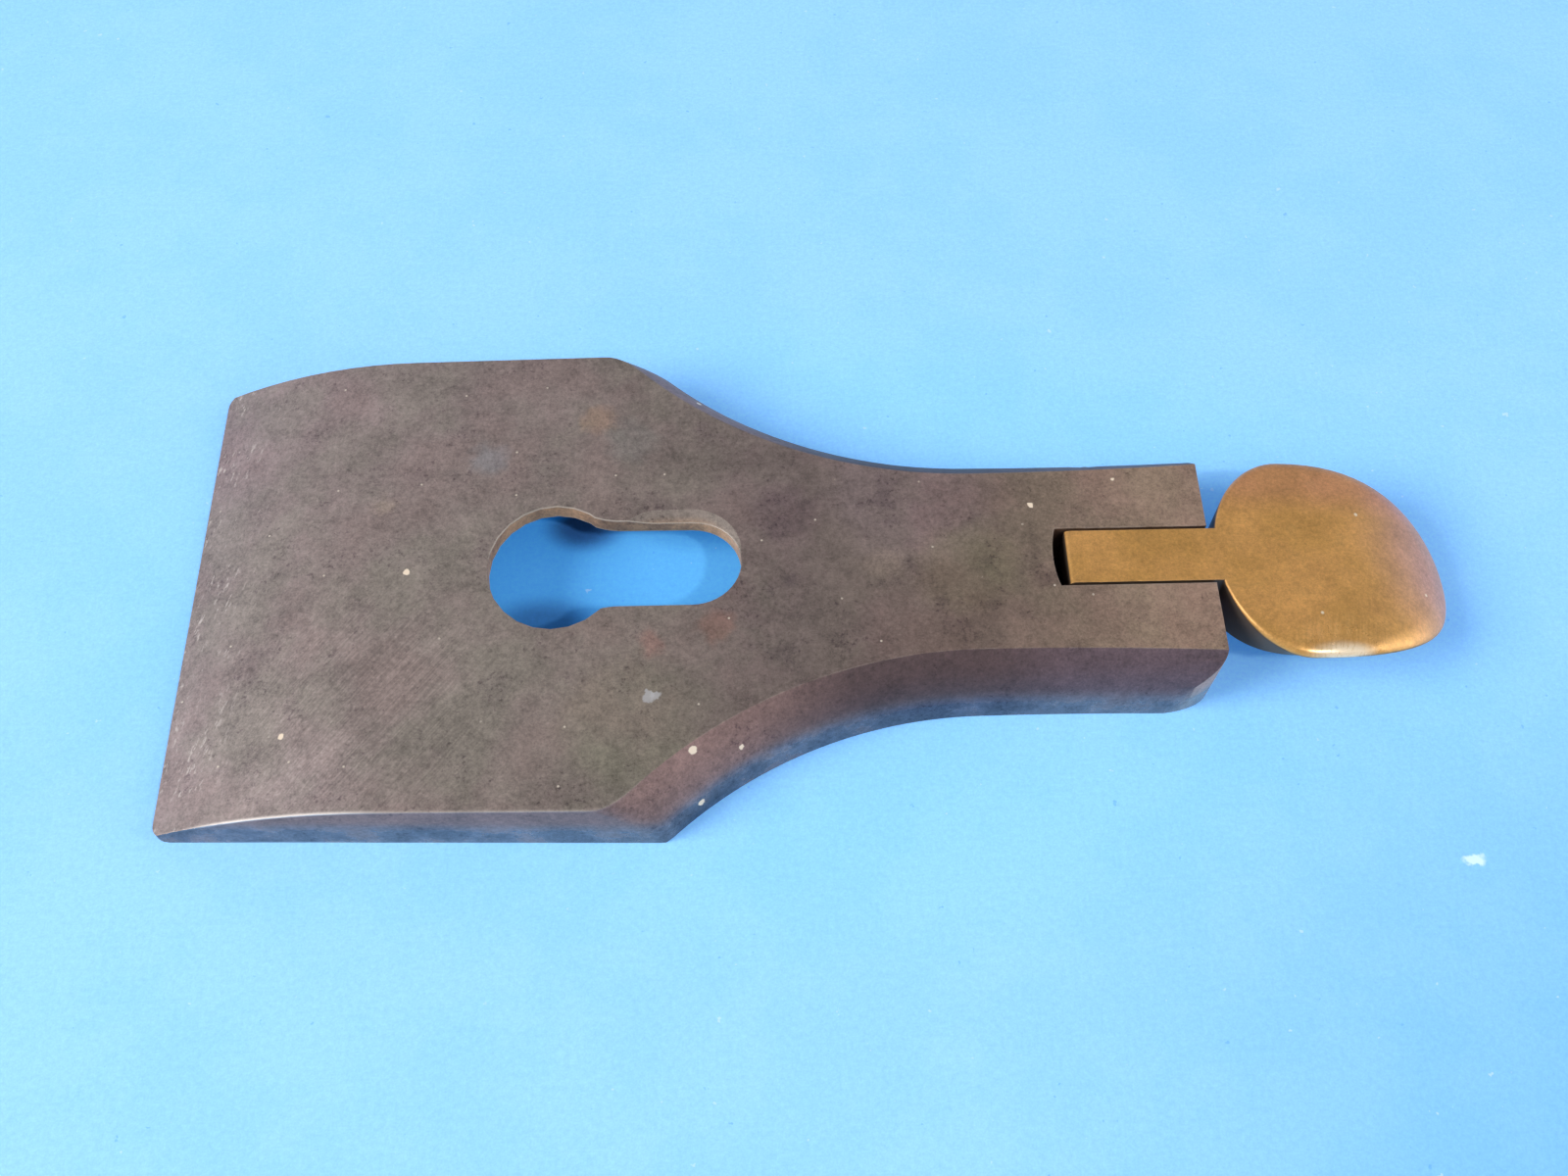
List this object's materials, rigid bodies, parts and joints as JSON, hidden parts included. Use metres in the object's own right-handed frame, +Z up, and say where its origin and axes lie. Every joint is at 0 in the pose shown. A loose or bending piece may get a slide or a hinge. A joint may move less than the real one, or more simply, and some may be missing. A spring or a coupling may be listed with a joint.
{
  "type": "bench plane lever cap",
  "caption": "Lever cap of a bench plane: iron casting with a keyhole and a hollow underside, and a brass cam lever with a round thumb pad that presses a leaf spring.",
  "frame": {"origin": "centre of the bounding box's bottom, in the plane of the cap's rim", "axes": "+X from the thin clamping edge to the thumb pad, +Y across the cap, +Z up out of the top face"},
  "size_m": [0.1288, 0.0528, 0.0089],
  "materials": {
    "cast_iron": "satin brown patina with fine grinding scratches",
    "brass": "satin, aged, polished by the thumb at its rim",
    "pin_steel": "dull, lightly rusted",
    "spring_steel": "blued and worn"
  },
  "bodies": {
    "cap": {"cap_body": "cast_iron", "pivot_pin": "pin_steel", "leaf_spring": "spring_steel", "spring_rivet": "pin_steel"},
    "lever": {"cam_lever": "brass"}
  },
  "joints": [
    {"name": "lever_pivot", "type": "hinge", "parent": "cap", "child": "lever", "pos_m": [0.02715, 0, 0.00583], "axis": [0, -1, 0], "range_deg": [0, 90]}
  ]
}
